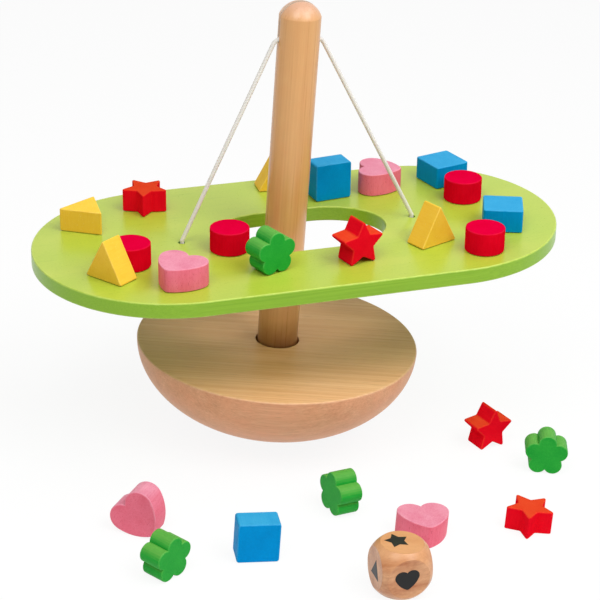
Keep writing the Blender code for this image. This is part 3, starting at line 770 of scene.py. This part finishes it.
def flowerOutline(bm, size):
    # each petal is the arc through its tip and the two notches beside it
    wedge = math.pi / size["petals"]
    across, along = size["notch"] * math.sin(wedge), size["notch"] * math.cos(wedge)
    middle = (size["tip"] ** 2 - size["notch"] ** 2) / (2 * (size["tip"] - along))
    turn = 2 * math.degrees(math.atan2(across, along - middle))
    aim = Matrix.Rotation(math.pi / 2, 3, "Z")
    last = startVert(bm, *(aim @ Vector((along, -across, 0))))
    for petal in range(size["petals"]):
        turned = Matrix.Rotation(2 * wedge * petal, 3, "Z") @ aim
        last = sweep(bm, last, turned @ Vector((middle, 0, 0)), (0, 0, 1), turn, size["steps"])
    bmesh.ops.remove_doubles(bm, verts=bm.verts[:], dist=meshSet["near"])
    bmesh.ops.contextual_create(bm, geom=bm.edges[:])


def heartFlank(size):
    # middle of the right flank's wide arc, which runs on from the lobe and into the tip
    lobe, tip = Vector((size["spread"], 0, 0)), Vector((0, -size["depth"], 0))
    toLobe, toTip = size["flank"] - size["lobe"], size["flank"] - size["tip"]
    span = (tip - lobe).length
    way = (tip - lobe) / span
    along = (toLobe ** 2 - toTip ** 2 + span ** 2) / (2 * span)
    return lobe + way * along + Vector((way.y, -way.x, 0)) * math.sqrt(toLobe ** 2 - along ** 2)


def heartOutline(bm, size):
    # right half from the tip up the flank and round the lobe to the notch, then mirrored
    spread, lobe, middle = size["spread"], size["lobe"], heartFlank(size)
    low = math.degrees(math.atan2(-size["depth"] - middle.y, -middle.x))
    high = math.degrees(math.atan2(-middle.y, spread - middle.x))
    notch = 180 - math.degrees(math.acos(spread / lobe))
    last = startVert(bm, 0, -size["depth"] - size["tip"], 0)
    last = sweep(bm, last, (0, -size["depth"], 0), (0, 0, 1), 90 + low, size["tipSteps"])
    last = sweep(bm, last, middle, (0, 0, 1), high - low, size["flankSteps"])
    sweep(bm, last, (spread, 0, 0), (0, 0, 1), notch - high, size["steps"])
    bmesh.ops.mirror(bm, geom=bm.verts[:] + bm.edges[:], axis="X", merge_dist=0)
    bmesh.ops.remove_doubles(bm, verts=bm.verts[:], dist=meshSet["near"])
    bmesh.ops.contextual_create(bm, geom=bm.edges[:])


def blockShape(outline, size):
    bm = bmesh.new()
    outline(bm, size)
    pushUp(bm, blockSet["thickness"])
    if "corner" in size:
        roundCorners(bm, size["corner"], blockSet["cornerSteps"])
    easeRims(bm, blockSet["edge"], blockSet["edgeSteps"])
    bmesh.ops.dissolve_degenerate(bm, dist=blockSet["least"], edges=bm.edges[:])
    return bm


# each place: ground, x and y on it, heading, and for a block on its edge its turn in its own plane
triangleSet = {"base": 0.0332, "height": 0.030, "corner": 0.001, "places": [
    ("board", -0.149537, 0.044642, -31.7, None), ("board", -0.149930, -0.044440, -54.8, 0.0),
    ("board", 0.008450, 0.083022, -3.2, 0.0), ("board", 0.085871, -0.047268, 21.5, 0.0)]}
triangleLook = {"main": (252, 206, 72), "deep": (244, 190, 54), "up": (253, 212, 72),
                "upDeep": (248, 200, 56), "fleck": (222, 160, 30), "fleckShare": 0.15,
                "speck": (255, 240, 190), "speckShare": 0.4, "edge": (255, 224, 120), "edgeWearLight": 0.35,
                "gloss": 0.12}
roundSet = {"radius": 0.01425, "steps": 72, "places": [
    ("board", -0.132497, -0.028471, 0.0, None), ("board", -0.058419, -0.020942, 0.0, None),
    ("board", 0.137943, 0.022826, 0.0, None), ("board", 0.117704, -0.070801, 0.0, None)]}
roundLook = {"main": (238, 10, 40), "deep": (222, 2, 30), "up": (226, 2, 62), "upDeep": (216, 0, 50),
             "fleck": (190, 2, 22), "fleckShare": 0.3, "speck": (240, 60, 80), "speckShare": 0.15,
             "edge": (236, 50, 80), "edgeWearLight": 0.25, "gloss": 0.0}
squareSet = {"side": 0.029, "corner": 0.0018, "places": [
    ("board", 0.041265, 0.054641, 6.5, 0.0), ("board", 0.135781, 0.061206, 13.9, None),
    ("board", 0.146982, -0.033633, -21.5, None), ("floor", -0.068565, -0.189630, -7.6, 0.0)]}
squareLook = {"main": (0, 154, 226), "deep": (0, 138, 208), "up": (62, 170, 218), "upDeep": (46, 156, 210),
              "fleck": (0, 112, 186), "fleckShare": 0.3, "speck": (96, 190, 236), "speckShare": 0.08,
              "edge": (84, 184, 230), "edgeWearLight": 0.35, "gloss": 0.03}
heartSet = {"lobe": 0.0102, "spread": 0.0082, "flank": 0.033, "depth": 0.018, "tip": 0.0042, "steps": 26,
            "flankSteps": 12, "tipSteps": 5, "places": [
    ("board", -0.103359, -0.064842, -48.0, None), ("board", 0.078404, 0.061610, 68.0, None),
    ("floor", 0.053025, -0.182175, -5.5, None), ("floor", -0.140070, -0.140700, -38.5, 49.03)]}
heartLook = {"main": (250, 130, 154), "deep": (238, 104, 128), "up": (237, 161, 181),
             "upDeep": (221, 120, 146), "fleck": (200, 64, 88), "fleckShare": 0.6,
             "speck": (250, 196, 208), "speckShare": 0.15, "edge": (248, 178, 196), "edgeWearLight": 0.35,
             "gloss": 0.12}
starSet = {"tips": 5, "tip": 0.0186, "notch": 0.009, "corner": 0.0014, "places": [
    ("board", -0.099036, 0.068276, 18.2, None), ("board", 0.023384, -0.062721, 15.2, 0.0),
    ("floor", 0.148050, -0.069405, 14.6, 0.0), ("floor", 0.130095, -0.190890, 10.2, None)]}
# painted light: faces that look up are painted orange and the sides deep red, as the light from above shows
# them; the last entry sets how far a face must look up
starLook = {"main": (246, 22, 40), "deep": (232, 6, 32), "up": (226, 82, 43), "upDeep": (220, 62, 32),
            "fleck": (204, 2, 22), "fleckShare": 0.25, "speck": (246, 120, 60), "speckShare": 0.15,
            "edge": (240, 76, 48), "edgeWearLight": 0.35, "gloss": 0.0, "paintedLitFrom": 0.45}
flowerSet = {"petals": 5, "tip": 0.0161, "notch": 0.0116, "steps": 12, "places": [
    ("board", -0.040479, -0.061913, 19.5, 0.0), ("floor", 0.176505, -0.113820, -21.0, 0.0),
    ("floor", 0.006930, -0.141540, -79.5, 0.0), ("floor", -0.134085, -0.198765, 33.0, 0.0)]}
flowerLook = {"main": (46, 176, 60), "deep": (20, 156, 50), "up": (105, 177, 74), "upDeep": (78, 161, 62),
              "fleck": (14, 130, 44), "fleckShare": 0.3, "speck": (130, 206, 110), "speckShare": 0.2,
              "edge": (104, 196, 92), "edgeWearLight": 0.35, "gloss": 0.12}

grounds = {"board": (deckPlace, blockSet["seat"]), "floor": (Matrix.Identity(4), 0.0)}
chance = random.Random(blockSet["seed"])
for kind, outline, size, look in (
    ("triangle", triangleOutline, triangleSet, triangleLook), ("round", roundOutline, roundSet, roundLook),
    ("square", squareOutline, squareSet, squareLook), ("heart", heartOutline, heartSet, heartLook),
    ("star", starOutline, starSet, starLook), ("flower", flowerOutline, flowerSet, flowerLook),
):
    stain = stained(kind + "Stain", look)
    for number, (ground, x, y, heading, lean) in enumerate(size["places"], 1):
        bm = blockShape(outline, size)
        under, height = grounds[ground]
        tipUp = Matrix.Identity(4)
        if lean is None:
            height += blockSet["thickness"] / 2
        else:
            turn = math.radians(lean)
            height -= min(v.co.x * math.sin(turn) + v.co.y * math.cos(turn) for v in bm.verts)
            tipUp = Matrix.Rotation(math.pi / 2, 4, "X") @ Matrix.Rotation(turn, 4, "Z")
        headed = Matrix.Rotation(math.radians(heading), 4, "Z")
        where = under @ Matrix.Translation((x, y, height)) @ headed @ tipUp
        layer = bm.verts.layers.float_vector.new("ownPoint")
        shift = Vector([chance.uniform(0, blockSet["grainReach"]) for _ in range(3)])
        for vert in bm.verts:
            vert[layer] = vert.co.zxy + shift  # the bar's grain runs through the block's thickness
        node = f"{kind}_block_{number}"
        newPiece(f"{kind}Block{number}", bm, where, node, stain, [node],
                 paintedLitFrom=look.get("paintedLitFrom", paintedLitSet["from"]))
print("blocks cut and stained")


# die: a cube turned away by a ball to round flat faces, with a printed symbol on each
dieSet = {"place": (0.012495, -0.246225, 0.0175), "heading": -0.5, "edge": 0.035, "face": 0.029,
          "ballSteps": (128, 64), "ringAngle": 0.4, "ease": 0.0004, "easeSteps": 2, "sharp": 14,
          "grainAt": (0.7, 0.2, 0.4)}
dieLook = {"turn": (0, 12, 20), "along": 26.0, "across": 640.0, "bandShare": 0.65, "deep": (172, 96, 50),
           "pale": (238, 184, 138), "upDeep": (208, 142, 88), "upPale": (225, 166, 114),
           "blush": (206, 126, 74), "blushShare": 0.25, "fleck": (146, 84, 46), "fleckShare": 0.2,
           # the die's eased rings painted darker, as painted shade
           "edge": (150, 90, 52), "edgeWearLight": 0.8, "rough": (0.4, 0.52), "bump": 0.2, "gloss": 0.25,
           "varnish": 0.55}
dieWood = bareWood("dieWood", dieLook)
diePlace = Matrix.Translation(dieSet["place"]) @ Matrix.Rotation(math.radians(dieSet["heading"]), 4, "Z")
bm = bmesh.new()
bmesh.ops.create_cube(bm, size=dieSet["edge"])
cutter = bmesh.new()
around, upDown = dieSet["ballSteps"]
bmesh.ops.create_uvsphere(cutter, u_segments=around, v_segments=upDown,
                          radius=math.hypot(dieSet["edge"], dieSet["face"]) / 2)
cutWith(bm, cutter, "INTERSECT")
tidyMesh(bm)
rings = [e for e in bm.edges if len(e.link_faces) == 2 and e.calc_face_angle(0) > dieSet["ringAngle"]]
easeEdges(bm, rings, dieSet["ease"], dieSet["easeSteps"])
keepOwn(bm, dieSet["grainAt"])
newPiece("symbolDie", bm, diePlace, "symbol_die", dieWood, ["symbol_die"], dieSet["sharp"])

# symbols: how each is drawn, its face, where on the face, how far turned and how far squeezed
symbolSet = {"proud": 0.00006, "depth": 0.00016}
symbols = [
    (starOutline, {"tips": 5, "tip": 0.0086, "notch": 0.0048}, "top", (-0.0028, 0.0028), 5.0, 1.0),
    (heartOutline, {"lobe": 0.00477, "spread": 0.00362, "flank": 0.0165, "depth": 0.0088, "tip": 0.0016,
                    "steps": 20, "flankSteps": 8, "tipSteps": 4}, "front", (-0.0013, 0.0020), 6.0, 0.95),
    (triangleOutline, {"base": 0.0142, "height": 0.0126}, "left", (0.0010, -0.0016), 0.0, 1.0),
    (roundOutline, {"radius": 0.0075, "steps": 56}, "right", (0.0004, 0.0006), 0.0, 1.0),
    (squareOutline, {"side": 0.0132}, "back", (0.0003, -0.0008), 4.0, 1.0),
    (flowerOutline, {"petals": 5, "tip": 0.0083, "notch": 0.0060, "steps": 10}, "bottom", (0.0, 0.0),
     10.0, 1.0),
]
quarter = math.pi / 2
upright = Matrix.Rotation(quarter, 4, "X")
faceTurns = {
    "top": Matrix.Identity(4),
    "bottom": Matrix.Rotation(math.pi, 4, "X"),
    "front": upright,
    "left": Matrix.Rotation(-quarter, 4, "Z") @ upright,
    "right": Matrix.Rotation(quarter, 4, "Z") @ upright,
    "back": Matrix.Rotation(math.pi, 4, "Z") @ upright,
}
inkLook = {"main": (7, 7, 9), "worn": (26, 23, 22), "cloud": 160.0, "speck": 2600.0, "cloudShare": 0.35,
           "speckShare": 0.5, "rough": (0.5, 0.68), "bump": 0.2, "bumpDepth": 0.00008, "gloss": 0.1}
ink, tree, shader = newFinish("symbolInk")
cover = place(tree, coverGroup, Point=readLayer(tree, "ownPoint", "Vector"),
              **{"Cloud size": inkLook["cloud"], "Speck size": inkLook["speck"]})
worn = sums(tree, "ADD", sums(tree, "MULTIPLY", cover["Speck"], inkLook["speckShare"]),
            sums(tree, "MULTIPLY", cover["Cloud"], inkLook["cloudShare"]))
feed(tree, shader.inputs["Base Color"], tint(tree, worn, srgb(*inkLook["main"]), srgb(*inkLook["worn"])))
feed(tree, shader.inputs["Roughness"], remap(tree, cover["Mottle"], 0.0, 1.0, *inkLook["rough"]))
bumped(tree, shader, cover["Mottle"], inkLook["bump"], inkLook["bumpDepth"])
shader.inputs["Specular IOR Level"].default_value = inkLook["gloss"]
shader.inputs["Coat Weight"].default_value = dieLook["varnish"]  # the clear coat lies over the ink too
shader.inputs["Coat Roughness"].default_value = woodSet["varnishRough"]
allMarks = bmesh.new()
for outline, size, face, (x, y), turned, squeeze in symbols:
    mark = bmesh.new()
    outline(mark, size)
    pushUp(mark, symbolSet["depth"])
    lift = dieSet["edge"] / 2 + symbolSet["proud"] - symbolSet["depth"] / 2
    drawn = Matrix.Rotation(math.radians(turned), 4, "Z") @ Matrix.Diagonal((1, squeeze, 1, 1))
    bmesh.ops.transform(mark, matrix=faceTurns[face] @ Matrix.Translation((x, y, lift)) @ drawn,
                        verts=mark.verts[:])
    holder = bpy.data.meshes.new(face + "Mark")
    mark.to_mesh(holder)
    mark.free()
    allMarks.from_mesh(holder)
    bpy.data.meshes.remove(holder)
keepOwn(allMarks)
newPiece("dieSymbols", allMarks, diePlace, "symbol_die", ink, [])
print("die turned and printed")


# floor, white world and soft lamps: high ones in front, so that the board shades the base, and weak ones
# above and on the right
floorSet = {"reach": 4.0, "steps": 4, "drop": 0.0002, "paper": (255, 255, 255), "bounce": (238, 237, 234),
            "rough": 0.9, "glow": 0.9}
worldSet = {"fill": 0.27}
lampSet = {"aim": (0.0, -0.05, 0.1), "lamps": [
    {"name": "frontLamp", "place": (0.65, -1.02, 1.62), "size": 1.2, "power": 17.5},
    {"name": "leftLamp", "place": (-0.81, -0.81, 1.74), "size": 1.1, "power": 12.0},
    {"name": "topLamp", "place": (0.0, -0.2, 2.0), "size": 1.2, "power": 6.5},
    {"name": "rightLamp", "place": (1.15, 0.0, 1.74), "size": 1.0, "power": 5.5},
]}


def seenWhite(tree):
    rays = addNode(tree, "LightPath").outputs
    reflected = sums(tree, "MAXIMUM", rays["Is Glossy Ray"], rays["Is Transmission Ray"])
    return sums(tree, "MAXIMUM", rays["Is Camera Ray"], reflected)


paper, tree, shader = newFinish("paperFloor")
seen = addNode(tree, "LightPath").outputs["Is Camera Ray"]
floorColour = tint(tree, seen, srgb(*floorSet["bounce"]), srgb(*floorSet["paper"]))
feed(tree, shader.inputs["Base Color"], floorColour)
shader.inputs["Roughness"].default_value = floorSet["rough"]
shader.inputs["Specular IOR Level"].default_value = 0.0
glow = addNode(tree, "Emission", Color=(1, 1, 1, 1), Strength=1.0)
mixed = tree.nodes.new("ShaderNodeMixShader")
feed(tree, mixed.inputs[0], sums(tree, "MULTIPLY", seenWhite(tree), floorSet["glow"]))
feed(tree, mixed.inputs[1], shader.outputs[0])
feed(tree, mixed.inputs[2], glow.outputs[0])
feed(tree, tree.nodes["Material Output"].inputs["Surface"], mixed.outputs[0])
bm = bmesh.new()
bmesh.ops.create_grid(bm, x_segments=floorSet["steps"], y_segments=floorSet["steps"],
                      size=floorSet["reach"])
bmesh.ops.translate(bm, vec=(0, 0, -floorSet["drop"]), verts=bm.verts[:])
meshPiece("paperFloor", bm, paper)

world = bpy.data.worlds.new("whiteRoom")
scene.world = world
world.use_nodes = True
tree = world.node_tree
sky = tree.nodes["Background"]
sky.inputs["Color"].default_value = (1, 1, 1, 1)
feed(tree, sky.inputs["Strength"], remap(tree, seenWhite(tree), 0.0, 1.0, toLow=worldSet["fill"]))
for lamp in lampSet["lamps"]:
    lampData = bpy.data.lights.new(lamp["name"], "AREA")
    lampData.shape, lampData.size, lampData.energy = "DISK", lamp["size"], lamp["power"]
    lampPiece = bpy.data.objects.new(lamp["name"], lampData)
    lampPiece.location = lamp["place"]
    toAim = Vector(lampSet["aim"]) - Vector(lamp["place"])
    lampPiece.rotation_euler = toAim.to_track_quat("-Z", "Y").to_euler()
    scene.collection.objects.link(lampPiece)
print("lit")
